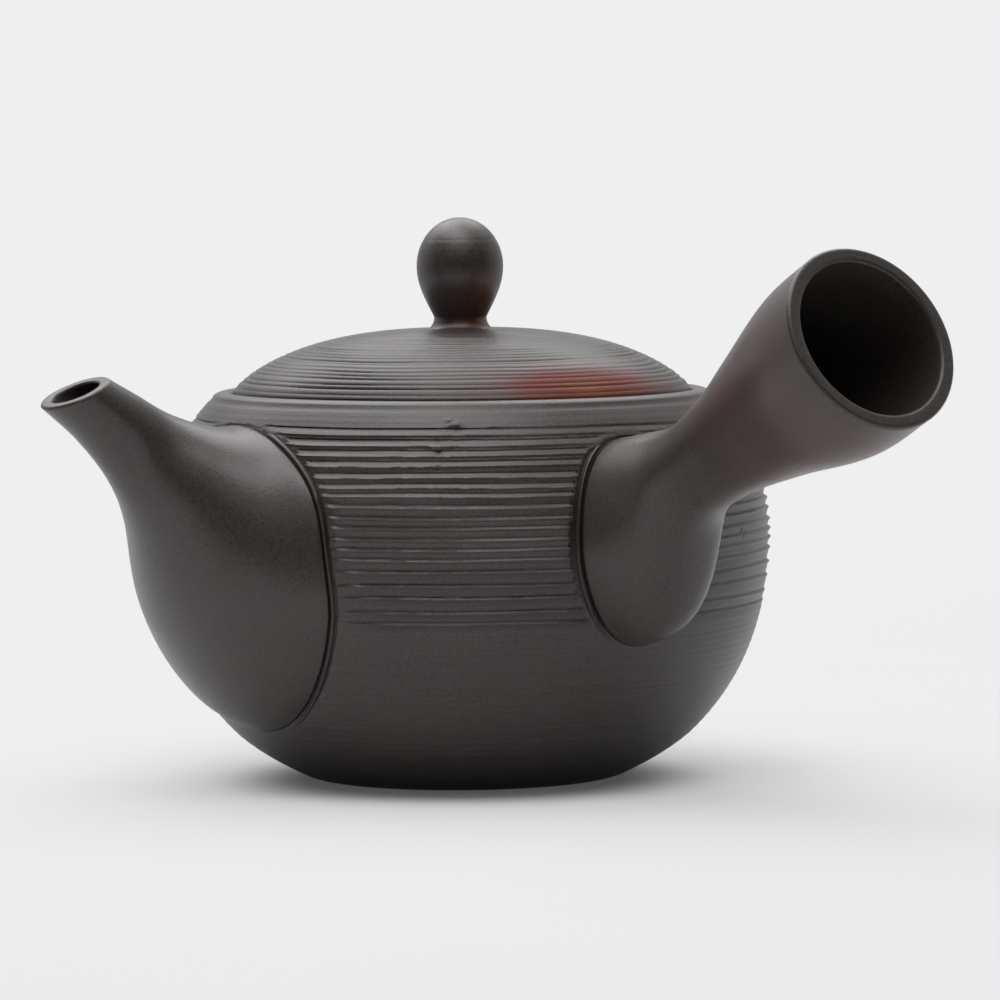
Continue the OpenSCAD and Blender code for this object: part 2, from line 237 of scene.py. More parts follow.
near_part, far_part = (add(tree, "MapRange", {
    "Value": reach, "From Min": start * MM, "From Max": end * MM, "To Min": low, "To Max": high,
}, interpolation_type=easing).outputs[0] for start, end, low, high, easing in shadow_lift_steps)
glow = add(tree, "Math", {0: near_part, 1: far_part}, operation="ADD").outputs[0]
# Painted light: camera rays, and glossy rays in part, see the sheet glow white away from the pot
painted_shadow_lift = add(tree, "Math", {0: seen, 1: glow}, operation="MULTIPLY").outputs[0]
paper_seen = add(tree, "MixShader", {0: painted_shadow_lift, 1: matt, 2: painted_glow}).outputs[0]
sheet = add(tree, "MixShader", {0: fade, 1: paper_seen, 2: clear}).outputs[0]
tree.links.new(sheet, paper_out.inputs["Surface"])
floor.data.materials.append(paper)
print("floor radius", floor_r, "mm, fading from", fade_from_mm, "mm")

# %% World and lamps
room_light, room_mirror, room_dim, room_turn = 0.01, 0.69, 0.0, 0.5

world = bpy.data.worlds.new("white_studio")
world.use_nodes = True
scene.world = world
tree = world.node_tree
tree.nodes.clear()
ray = add(tree, "LightPath", {}).outputs
seen = add(tree, "Math", {
    0: ray["Is Camera Ray"], 1: ray["Is Transmission Ray"],
}, operation="MAXIMUM").outputs[0]
way = add(tree, "TexCoord", {}).outputs["Generated"]
ahead = add(tree, "VectorMath", {0: way, 1: -towards_camera}, operation="DOT_PRODUCT").outputs["Value"]
mirrored = add(tree, "MapRange", {
    "Value": ahead, "From Min": -room_turn, "From Max": room_turn, "To Min": room_dim, "To Max": room_mirror,
}, interpolation_type="SMOOTHSTEP").outputs[0]
light = add(tree, "Mix", {0: ray["Is Glossy Ray"], 2: room_light, 3: mirrored}, data_type="FLOAT").outputs[0]
strength = add(tree, "Mix", {0: seen, 2: light, 3: 1.0}, data_type="FLOAT").outputs[0]
sky = add(tree, "Background", {"Color": linear(paper_white), "Strength": strength}).outputs[0]
add(tree, "OutputWorld", {"Surface": sky})

# Soft boxes: right of the pot, behind it and above the table as the camera sees them, size and watts
soft_boxes = {
    "soft_box_above": (0, 100, 1100, 1900, 6.0),
    "soft_box_above_front": (0, -250, 950, 600, 1.9),
    "soft_box_above_left": (-300, 0, 950, 600, 1.7),
    "soft_box_behind": (0, 550, 800, 800, 3.3),
    "soft_box_left_behind": (-450, 450, 750, 700, 1.6),
    "soft_box_front": (0, -550, 800, 800, 1.0),
}
for name, (right, behind, up, size, watts) in soft_boxes.items():
    lamp = bpy.data.objects.new(name, bpy.data.lights.new(name, "AREA"))
    lamp.data.shape = "SQUARE"
    lamp.data.size = size * MM
    lamp.data.energy = watts
    stand = picture_right * right - towards_camera * behind + Vector((0, 0, up))
    lamp.location = stand * MM
    lamp.rotation_mode = "QUATERNION"
    lamp.rotation_quaternion = (aim - stand).to_track_quat("-Z", "Y")
    scene.collection.objects.link(lamp)
    print(name, watts, "W")

# %% [markdown]
# ## The clay
# Unglazed stoneware fired with little air turns dark grey-brown. Its skin is dense and only half matt:
# looked at straight on it is dark, at a grazing angle it picks up the white room. Close up it shows soft
# clouds from the fire, fine grit, a few larger grains and the hair-fine lines that the wheel leaves. The
# lines follow each piece's own turning, so they read a mark on the points, the way along the profile in
# millimetres. A second mark is painted shade where the clay is recessed (1) and painted highlight where it
# faces the light (-1), and a third lays red slip in the grooves, dark enough to stand for their shade too.
# Everything else reads object coordinates, which are the real ones in metres. A second mark says where the
# clay is hollow and dark (1) or rubbed pale (-1), and a third
# where red slip has dried. Everything else reads object coordinates, which are the real ones in metres.

# %% Stoneware
cloud_mm, grit_mm, grain_mm, speck_mm, line_mm = 16.0, 0.45, 5.0, 7.0, 0.8
# The last colour is the red of dried slip, dark enough to stand for the grooves' painted shade as well
grit_height, gloss_play, slip_red = 0.035, 0.06, "#2b1918"


def stoneware(name, clay, warm, roughness, line_height):
    """Dense fired clay: clouds mix two tones, grit and turning lines give grain to colour and surface."""
    material, out = new_material(name)
    tree = material.node_tree
    place = add(tree, "TexCoord", {}).outputs["Object"]
    cloud = add(tree, "TexNoise", {"Vector": place, "Scale": per(cloud_mm), "Detail": 4.0}).outputs["Fac"]
    grit = add(tree, "TexNoise", {"Vector": place, "Scale": per(grit_mm), "Detail": 3.0}).outputs["Fac"]
    cell = add(tree, "TexVoronoi", {"Vector": place, "Scale": per(grain_mm)}).outputs["Distance"]
    speck = add(tree, "TexVoronoi", {"Vector": place, "Scale": per(speck_mm)}).outputs["Distance"]
    along = add(tree, "Attribute", {}, attribute_name="along_mm").outputs["Fac"]
    way = add(tree, "Math", {0: along, 1: 1 / line_mm}, operation="MULTIPLY").outputs[0]
    line = add(tree, "TexNoise", {
        "W": way, "Scale": 1.0, "Detail": 3.0,
    }, noise_dimensions="1D").outputs["Fac"]
    # Painted shading from the points: shade where the mark is above 0, highlight where it is below 0
    hollow = add(tree, "Attribute", {}, attribute_name="hollow").outputs["Fac"]
    colour = add(tree, "Mix", {0: cloud, 6: linear(clay), 7: linear(warm)}, data_type="RGBA").outputs[2]
    fleck = 2 * line_height
    # What scales the colour: a value, the two ends of its range, and the factor at each end
    layers = [(grit, 0.3, 0.7, 0.75, 1.25), (cell, 0.03, 0.06, 0.45, 1.0), (speck, 0.02, 0.05, 1.5, 1.0),
              (line, 0.3, 0.7, 1 - fleck, 1 + fleck), (hollow, -1.0, 1.0, 1.6, 0.4)]
    for value, low, high, at_low, at_high in layers:
        shade = add(tree, "MapRange", {
            "Value": value, "From Min": low, "From Max": high, "To Min": at_low, "To Max": at_high,
        }).outputs[0]
        colour = add(tree, "Mix", {
            0: 1.0, 6: colour, 7: shade,
        }, data_type="RGBA", blend_type="MULTIPLY").outputs[2]
    height = add(tree, "Math", {0: grit, 1: grit_height}, operation="MULTIPLY").outputs[0]
    height = add(tree, "Math", {0: line, 1: line_height, 2: height}, operation="MULTIPLY_ADD").outputs[0]
    relief = add(tree, "Bump", {"Height": height, "Distance": MM, "Strength": 1.0}).outputs["Normal"]
    gloss = add(tree, "MapRange", {
        "Value": grit, "From Min": 0.25, "From Max": 0.75,
        "To Min": roughness - gloss_play, "To Max": roughness + gloss_play,
    }).outputs[0]
    skin = add(tree, "BsdfPrincipled", {
        "Base Color": colour, "Roughness": gloss, "IOR": 1.55, "Normal": relief,
    })
    tree.links.new(skin.outputs[0], out.inputs["Surface"])
    return material, skin


def flush(tree, skin, mask, tint):
    """Mixes a tint into the skin's colour where the mask is 1."""
    below = skin.inputs["Base Color"].links[0].from_socket
    mixed = add(tree, "Mix", {0: mask, 6: below, 7: linear(tint)}, data_type="RGBA").outputs[2]
    tree.links.new(mixed, skin.inputs["Base Color"])


# The pot's own clay: dark and half matt, with turning lines that break up its sheen
pot_clay, pot_skin = stoneware("unglazed_stoneware", "#4b4542", "#423c3a", 0.36, 0.045)
tree = pot_clay.node_tree
# Red slip in the grooves beside the seams, its darkness partly painted shade
slip = add(tree, "Attribute", {}, attribute_name="slip").outputs["Fac"]
flush(tree, pot_skin, slip, slip_red)
print("stoneware:", pot_clay.name)

# %% [markdown]
# ## The wall of the pot
# The wall is two arcs that meet upright at the widest ring, one down to the foot and one up to the
# shoulder, a little fuller above the foot and drawn in at it. The widest ring and the height of the lip are
# read from the frame.

# %% Wall
body_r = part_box("body")[1].x / MM
rim_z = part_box("body")[1].z / MM
belly_z, foot_r, shoulder_r, wall, floor_t = 41.0, 28.5, 42.4, 3.0, 3.2
lip_groove_z = rim_z - 1.7
full_mm, full_z, full_lean = 0.7, 31.0, 0.75
foot_round, foot_z, foot_curve = 1.9, 7.5, 1.5


def arc_radius(depth, height):
    """Radius of an arc that starts upright and falls in by a depth over a height: (d² + h²) / 2d."""
    return (depth ** 2 + height ** 2) / (2 * depth)


low_arc = arc_radius(body_r - foot_r, belly_z)
high_arc = arc_radius(body_r - shoulder_r, lip_groove_z - belly_z)


def wall_radius(z, inward=0.0):
    """Radius at height z: R - a + sqrt((a - inward)² - (z - belly)²), fuller below, drawn in at the foot."""
    arc = np.where(z < belly_z, low_arc, high_arc)
    fuller = full_mm * np.sin(np.pi * np.clip(z / full_z, 0, 1) ** full_lean)
    drawn_in = foot_round * np.clip(1 - z / foot_z, 0, 1) ** foot_curve
    chord = np.sqrt(np.maximum((arc - inward) ** 2 - (z - belly_z) ** 2, 0))
    return body_r - arc + chord + fuller - drawn_in


def wall_normal(p):
    """Outward direction of the wall at points on it: from the arc's centre to the point."""
    arc = np.where(p[..., 2] < belly_z, low_arc, high_arc)
    radius = np.hypot(p[..., 0], p[..., 1])
    flat = (radius - (body_r - arc)) / arc / radius
    return np.stack([p[..., 0] * flat, p[..., 1] * flat, (p[..., 2] - belly_z) / arc], -1)


print(f"belly {2 * body_r:.1f} mm wide, lip at {rim_z:.1f} mm")

# %% [markdown]
# ## Two thrown tubes
# Spout and handle are thrown on the wheel, bent while soft and cut to fit the pot. Each is a loft between
# an upper and a lower rail, seen from the side, with its own half width at every station. The rails run
# from the open end to the pot wall and are given by how far they sag from the straight line between
# their ends. The place where each line of the loft meets the round wall is found by halving.

# %% Loft
def smooth(stations, t):
    """Catmull-Rom curve: the cubic whose slope at a station is half the step across its neighbours."""
    p = np.concatenate([2 * stations[:1] - stations[1:2], stations, 2 * stations[-1:] - stations[-2:-1]])
    i = np.minimum(t.astype(int), len(stations) - 2)
    f = (t - i)[..., None]
    a, b, c, d = (p[i + k] for k in range(4))
    square, cube = 2 * a - 5 * b + 4 * c - d, 3 * b - a - 3 * c + d
    return b + (c - a) * f / 2 + square * f ** 2 / 2 + cube * f ** 3 / 2


def rail(start, end, sags):
    """Stations between two points: start + chord * share + (chord turned a quarter) * sag."""
    share, sag = np.array(sags).T[:, :, None]
    chord = end - start
    return start + chord * share + np.array([-chord[1], chord[0]]) * sag


def loft(end, r, tilt, top_z, low_z, over, under, half_widths, corners):
    """Upper rail, lower rail, half widths and corners as one array; rails end on the wall's inner face."""
    across = r * np.array([-math.sin(tilt), math.cos(tilt)])
    end_over, end_under = (np.array([float(wall_radius(np.array(z))) - wall, z]) for z in (top_z, low_z))
    upper = rail(np.array(end) + across, end_over, over)
    lower = rail(np.array(end) - across, end_under, under)
    return np.concatenate([upper, lower, np.array(half_widths)[:, None], at_base[:, None] * corners], 1)


def loft_points(form, t, angle, inward):
    """Oval at station t: middle of the rails + half their distance * cos, half width * sin, less a thickness.

    Near the base the corners are filled out or drawn in: sin * (1 + corner * sin(2 * angle)²).
    """
    at = smooth(form, t)
    upper, lower, width = at[..., :2], at[..., 2:4], at[..., 4]
    half = (upper - lower) / 2
    shrink = 1 - inward / np.linalg.norm(half, axis=-1)
    uz = (upper + lower) / 2 + half * (shrink * np.cos(angle))[..., None]
    corner = np.where(np.cos(angle) > 0, at[..., 5], at[..., 6])
    side = np.sin(angle) * (1 + corner * np.sin(2 * angle) ** 2)
    return np.stack([uz[..., 0], (width - inward) * side, uz[..., 1]], -1)


seat_gap, clear_station, last_station, halvings = 0.1, 2.0, 6.0, 24


def trim(form, angle, inward):
    """Station at which each line of the loft comes down to the wall, found by halving the stretch."""
    near, far = np.full_like(angle, clear_station), np.full_like(angle, last_station)
    for _ in range(halvings):
        t = (near + far) / 2
        p = loft_points(form, t, angle, inward)
        outside = np.hypot(p[..., 0], p[..., 1]) > wall_radius(p[..., 2]) + seat_gap
        near, far = np.where(outside, t, near), np.where(outside, far, t)
    return near


print(f"seat found to {(last_station - clear_station) / 2 ** halvings:.0e} of a station")

# %% Spout and handle forms
at_base = np.array([0, 0, 0, 0, 0, 0.5, 1])
mouth_r, spout_base_w, spout_corners, handle_corners = 6.05, 26.0, (0.14, 0.0), (0.0, -0.06)
handle_r, waist_r, handle_base_w = 15.45, 8.3, 14.2
mouth_tilt, handle_tilt = math.radians(67), math.radians(27)
spout_out, mouth_rise, spout_drop, spout_low = 24.3, 1.15, 5.2, 8.4
handle_out, handle_rise, handle_drop, handle_low = 57.8, 10.8, 7.4, 23.9

spout_widths = mouth_r + (spout_base_w - mouth_r) * np.array([0, 0.012, 0.053, 0.29, 0.67, 0.97, 1])
spout_form = loft(
    (body_r + spout_out, rim_z + mouth_rise), mouth_r, mouth_tilt, rim_z - spout_drop, spout_low,
    [(0, 0), (0.19, 0.036), (0.41, 0.08), (0.62, 0.089), (0.78, 0.07), (0.9, 0.03), (1, 0)],
    [(0, 0), (0.12, -0.024), (0.25, -0.028), (0.39, -0.006), (0.64, 0.075), (0.86, 0.074), (1, 0)],
    spout_widths, spout_corners,
)
handle_widths = np.concatenate([
    handle_r + (waist_r - handle_r) * np.array([0, 0.09, 0.6, 0.93, 1]),
    waist_r + (handle_base_w - waist_r) * np.array([0.36, 1]),
])
handle_form = loft(
    (body_r + handle_out, rim_z + handle_rise), handle_r, handle_tilt, rim_z - handle_drop, handle_low,
    [(0, 0), (0.167, 0.003), (0.393, 0.045), (0.538, 0.076), (0.725, 0.089), (0.867, 0.048), (1, 0)],
    [(0, 0), (0.15, -0.01), (0.34, -0.068), (0.53, -0.114), (0.67, -0.108), (0.824, 0.02), (1, 0)],
    handle_widths, handle_corners,
)
towards_minus_x = np.array([[-1, 0, 0], [0, -1, 0], [0, 0, 1]])
towards_minus_y = np.array([[0, 1, 0], [-1, 0, 0], [0, 0, 1]])
print("spout stations", len(spout_form), "handle stations", len(handle_form))

# %% Spout and handle
tube_sides, tube_rings, rim_steps, rim_ease, rim_square = 160, 110, 12, 0.4, 6
spout_wall, handle_wall, joint_painted_shade, joint_fade_mm = 2.0, 2.4, 0.35, 0.25


def thrown_tube(name, form, thick, tilt, place):
    """Outside from the base to the open end, a rounded rim over the wall, and the inside back to the base."""
    angle = np.linspace(0, 2 * np.pi, tube_sides, endpoint=False)[None]
    share = np.linspace(1, 0, tube_rings + 1)[:, None]
    outer_t, inner_t = trim(form, angle, 0.0) * share, trim(form, angle, thick) * share[::-1]
    outside = loft_points(form, outer_t, angle, 0.0)
    inside = loft_points(form, inner_t, angle, thick)
    across = np.linspace(0, 1, rim_steps + 2)[1:-1, None]
    forward = rim_ease * (1 - (2 * across - 1) ** rim_square)[..., None] * [math.cos(tilt), 0, math.sin(tilt)]
    rim = loft_points(form, 0 * across * angle, angle, across * thick) + forward
    points = np.concatenate([outside, rim, inside]) @ place.T
    step = np.linalg.norm(np.diff(points, axis=0), axis=-1)
    along = np.concatenate([np.zeros((1, tube_sides)), np.cumsum(step, 0)])
    # Painted shade in the crevice where the tube meets the bead, gone within a fraction of a millimetre
    hollow = joint_painted_shade * np.exp(-along / joint_fade_mm)
    fired = np.arange(len(points))[:, None] < len(outside) + rim_steps
    return make_piece(
        name, points[::-1], ring=True, along_mm=along[::-1], hollow=hollow[::-1], fired=fired[::-1],
    )


spout = thrown_tube("spout_thrown", spout_form, spout_wall, mouth_tilt, towards_minus_x)
handle = thrown_tube("handle_thrown", handle_form, handle_wall, handle_tilt, towards_minus_y)
# Clay smoothed with a wet finger: hardly a line on it, so its highlights run long and soft
spout_clay, _ = stoneware("smoothed_stoneware", "#4a4541", "#433e3b", 0.32, 0.008)
dress(spout, "pot", "spout", spout_clay)

# %% [markdown]
# ## Warm breath on the handle
# The handle stood nearer to the flame, so its outer half is a little more purple than the pot, except at
# the rim, which was cut and wiped, and on the inside. The tint follows the way along the handle's slanting
# axis, and the fire's clouds break it up.

# %% Handle finish
tint_from_mm, tint_to_mm, rim_from_mm, rim_to_mm, patch_mm = 86, 112, 128, 134, 14.0
handle_way = (0, -math.cos(handle_tilt), math.sin(handle_tilt))
# The same smoothed clay, tinged by the fire: a purple breath over its outer half
handle_clay, handle_skin = stoneware("fire_warmed_stoneware", "#4a4541", "#433e3b", 0.33, 0.01)
tree = handle_clay.node_tree
place = add(tree, "TexCoord", {}).outputs["Object"]
outward = add(tree, "VectorMath", {0: place, 1: handle_way}, operation="DOT_PRODUCT").outputs["Value"]
warm = add(tree, "MapRange", {
    "Value": outward, "From Min": tint_from_mm * MM, "From Max": tint_to_mm * MM,
}, interpolation_type="SMOOTHSTEP").outputs[0]
wiped = add(tree, "MapRange", {
    "Value": outward, "From Min": rim_to_mm * MM, "From Max": rim_from_mm * MM,
}, interpolation_type="SMOOTHSTEP").outputs[0]
patch = add(tree, "TexNoise", {"Vector": place, "Scale": per(patch_mm), "Detail": 2.0}).outputs["Fac"]
patch = add(tree, "MapRange", {
    "Value": patch, "From Min": 0.3, "From Max": 0.7, "To Min": 0.4, "To Max": 0.7,
}).outputs[0]
fired = add(tree, "Attribute", {}, attribute_name="fired").outputs["Fac"]
warmth = warm
for share in (wiped, patch, fired):
    warmth = add(tree, "Math", {0: warmth, 1: share}, operation="MULTIPLY").outputs[0]
flush(tree, handle_skin, warmth, "#5d4643")
dress(handle, "pot", "handle", handle_clay)

# %% [markdown]
# ## The luted joints
# A thin coil of wet clay is pressed into the corner round each base and drawn along with a pointed tool.
# That leaves a bead between two dark grooves: a narrow one beside the tube and a wider one in the wall of
# the pot. The bead and the floors of both grooves are one profile carried along the trimmed edge of the
# tube. The outer side of the wide groove is cut into the pot itself, later. At the bottom of the base the
# tool was lifted, and over the top it only scored a line. On the spout's flank two lengths of coil meet in
# a small knot, and the upper one is thicker.

# %% Beads
bead_rings, bead_steps = 400, 40
bead_mid, bead_half, bead_height, groove_depth = 0.62, 0.3, 0.3, 0.3
spout_groove_w, handle_groove_w, tucked_under, scored = 0.2, 0.45, 0.7, 0.7
knot_z, knot_size, knot_gain, upper_gain, knot_step, spout_side = 49.5, 0.6, 0.6, 0.4, 0.5, 40
bead_overlap, bead_root, faint, firm = 0.2, 0.8, 0.15, 0.85
dark_shape, dark_faint, dark_firm, inner_dark = 1.5, 0.3, 0.7, 0.5


def eased(value, start, end):
    """0 before start and 1 after end, with a smooth step 3f² - 2f³ between."""
    f = np.clip((value - start) / (end - start), 0, 1)
    return f * f * (3 - 2 * f)


def hump(value, rise, top, fall, end):
    """0 before rise, 1 from top to fall and 0 after end, with smooth steps between."""
    return eased(value, rise, top) * (1 - eased(value, fall, end))


def pressed(z, low, high):
    """How deep the tool went at a height: full on the flanks, running out at the foot and at the top."""
    return hump(z, low + 0.3, low + 4, high - 3, high - 0.8)


def base_edge(form, place, count):
    """Closed line on the pot wall where a tube's outside meets it."""
    angle = np.linspace(0, 2 * np.pi, count, endpoint=False)
    return loft_points(form, trim(form, angle, 0.0), angle, 0.0) @ place.T


def bead(name, edge, groove_w):
    """Half round bead over a flat groove, h = bead - depth, carried along the edge and closed underneath."""
    along = np.roll(edge, -1, 0) - np.roll(edge, 1, 0)
    along /= np.linalg.norm(along, axis=-1, keepdims=True)
    up = wall_normal(edge)
    out = np.cross(up, along)
    force = pressed(edge[:, 2], edge[:, 2].min(), edge[:, 2].max())[:, None]
    q = np.linspace(-bead_overlap, bead_mid + bead_half + groove_w + tucked_under, bead_steps)[None]
    spout_flank = (edge[:, 1:2] < 0) * (edge[:, :1] < -spout_side)
    thicker = upper_gain * eased(edge[:, 2:], knot_z - knot_step, knot_z + knot_step) * spout_flank
    crest = np.sqrt(np.maximum(1 - ((q - bead_mid) / (bead_half * (1 + thicker))) ** 2, 0))
    knot = knot_gain * np.exp(-((edge[:, 2:] - knot_z) / knot_size) ** 2) * spout_flank
    h = crest * (bead_height * (1 + knot) + groove_depth) * (faint + firm * force) - groove_depth
    across = np.concatenate([q, q[:, ::-1]], 1)
    lift = np.concatenate([h, h[:, ::-1] * 0 - bead_root], 1)
    points = edge[:, None] + out[:, None] * across[..., None] + up[:, None] * lift[..., None]
    # Painted shade in both grooves, half as strong beside the tube, painted highlight on the thicker coil's
    # crest
    dark = (1 - crest) ** dark_shape * (dark_faint + dark_firm * force)
    dark = dark * np.where(q < bead_mid, inner_dark, 1.0)
    deep = np.concatenate([dark - thicker * crest ** 4, np.ones_like(h)], 1)
    return make_piece(name, points, ring=True, hollow=deep, along_mm=across)


print("bead", 2 * bead_half, "mm wide and", bead_height, "mm high")

# %% Bead pieces
spout_edge = base_edge(spout_form, towards_minus_x, bead_rings)
handle_edge = base_edge(handle_form, towards_minus_y, bead_rings)
spout_bead = bead("spout_bead", spout_edge, spout_groove_w)
handle_bead = bead("handle_bead", handle_edge, handle_groove_w)

# Red slip fired in the grooves, over painted shade that darkens them; one mark lays both, and they
# frame the grey bead
seam_clay, seam_skin = stoneware("luted_seam_clay", "#463f3b", "#3d3734", 0.42, 0.0)
tree = seam_clay.node_tree
hollow = add(tree, "Attribute", {}, attribute_name="hollow").outputs["Fac"]
flush(tree, seam_skin, hollow, slip_red)
dress(spout_bead, "pot", "spout_coil", seam_clay)
dress(handle_bead, "pot", "handle_coil", seam_clay)

# %% [markdown]
# ## The combed body
# While the pot turns, a toothed comb is held against the wet wall. Each tooth cuts a notch and pushes the
# clay below it into a small step: a slanting tread that catches the light from above, an edge that is
# undercut and so draws a dark line, and an upright land. On the shoulder the treads are wide, round the
# belly they are thin lines and the lands lean in, and the lowest lines are dark scratches.
# The body is one profile turned round the axis. Its height is shaken a little by a sum of waves round the
# pot, and no two notches are equally deep. Shade is painted into the notches and under the edges, most of
# all on the lowest lines, and highlight onto the treads and, round the belly, onto the lands.

# %% Comb lines
comb_heights = np.array([
    30.1, 31.85, 34.2, 36.3, 38.65, 40.55, 42.15, 43.75, 45.55,
    47.15, 49.05, 50.95, 52.4, 54.1, 56.0, 57.75, 59.45, 61.15,
])
# The last number on the next line lightens the lands round the belly: painted light
brow, edge_out, land_lean, belly_lean, land_painted_light = 0.18, 0.04, 0.35, 0.24, -0.55
belly_tread, belly_notch, belly_undercut, belly_under_h = 0.4, 0.02, 0.16, 0.24
shoulder_tread, shoulder_notch, shoulder_undercut, shoulder_under_h = 0.95, 0.1, 0.06, 0.15
lowest_notch, last_land, inner_shares = 0.1, 1, np.array([0.18, 0.82])[:, None]
shoulder_zone, lowest_zone, pale_zone = (45, 60), (34, 42), (38, 47)
# Painted shade (above 0) or painted highlight (below 0) at brow, notch, twice on the tread, edge, undercut,
# twice on the land
lowest_marks = np.array([0.5, 0.9, 0, -0.3, -0.3, 1, 0.4, 0])
belly_marks = np.array([0.2, 0.2, -1, -1, -0.9, 1, 0.3, 0])
shoulder_marks = np.array([0.4, 0.9, -0.5, -0.55, -0.3, 0.35, 0, 0])
waves, wave_norm, wave_mm, ragged_mm = 9, 1.2, 0.12, 0.02
rng = np.random.default_rng(7)
wave_phase = rng.uniform(0, 2 * np.pi, (2, waves))
wave_twist = rng.normal(0, 0.3, (2, waves))
comb_force = rng.uniform(0.75, 1.15, len(comb_heights))


def shaken(z, turn, kind):
    """Sum of sines round the pot, sin(k * turn + phase + twist * z) / sqrt(k), about 1 in size."""
    return sum(
        np.sin((k + 1) * turn + wave_phase[kind, k] + wave_twist[kind, k] * z) / math.sqrt(k + 1)
        for k in range(waves)
    ) / wave_norm


def mix(low, high, share):
    """Value between two: low + (high - low) * share."""
    return low + (high - low) * share


def comb_steps(lines, force):
    """Step below each line, from brow to the end of its land: heights, depths under the wall and marks."""
    height = lines[::-1]
    shoulder = eased(height, *shoulder_zone)
    lowest = 1 - eased(height, *lowest_zone)
    tread = mix(belly_tread, shoulder_tread, shoulder)
    edge, above = height - tread, height + brow
    under = edge - mix(belly_under_h, shoulder_under_h, shoulder)
    edge_r = wall_radius(edge) + edge_out
    under_r = edge_r - mix(belly_undercut, shoulder_undercut, shoulder)
    land_end = np.append(above[1:], under[-1] - last_land)
    land_r = under_r + land_lean * (wall_radius(land_end) - wall_radius(edge)) - belly_lean * (1 - shoulder)
    land_r[-1] = wall_radius(land_end[-1])
    above_r = np.append(wall_radius(above[:1]), land_r[:-1])
    notch = mix(belly_notch, shoulder_notch, shoulder) + lowest_notch * lowest
    notch_r = above_r - force[::-1] * notch
    tread_z, land_z = mix(height, edge, inner_shares), mix(under, land_end, inner_shares)
    tread_r = mix(notch_r, edge_r, inner_shares)
    land_in = mix(under_r, land_r, inner_shares ** (1 + 2 * shoulder))
    z = np.stack([above, height, *tread_z, edge, under, *land_z], 1)
    r = np.stack([above_r, notch_r, *tread_r, edge_r, under_r, *land_in], 1)
    mark = mix(belly_marks, shoulder_marks, shoulder[:, None])
    mark = mix(mark, lowest_marks, lowest[:, None])
    mark[:, 6:] = mix(mark[:, 6:], land_painted_light, eased(height, *pale_zone)[:, None])
    return z.ravel()[::-1], (wall_radius(z) - r).ravel()[::-1], mark.ravel()[::-1]


print(len(comb_heights), "comb lines, mean pitch", round(float(np.diff(comb_heights).mean()), 2), "mm")

# %% Body profile
lip_in, lip_mid, lip_top, lip_low, lip_step = 39.05, 40.3, rim_z - 0.75, rim_z - 1.65, 0.14
lip_lean = math.radians(20)
ledge_z, throat_r, ledge_t, ledge_slope = rim_z - 2.6, 35.8, 2.6, 3.9
foot_ease, seat_ease, bottom_ease = 0.3, 0.5, 1.2
fine_from, fine_pitch, fine_depth, shoulder_depth = 2.8, 1.1, 0.075, 0.03


def rounded(corners, r, steps=5):
    """Outline with every inner corner eased: a quadratic curve from r before the corner to r after it."""
    p = np.array(corners, float)
    step = np.diff(p, axis=0)
    length = np.linalg.norm(step, axis=1, keepdims=True)
    reach = np.minimum(r, length / 2)
    before, after = p[1:-1] - (step / length * reach)[:-1], p[1:-1] + (step / length * reach)[1:]
    f = np.linspace(0, 1, steps)[None, :, None]
    curve = (1 - f) ** 2 * before[:, None] + 2 * f * (1 - f) * p[1:-1, None] + f ** 2 * after[:, None]
    return np.concatenate([p[:1], curve.reshape(-1, 2), p[-1:]])


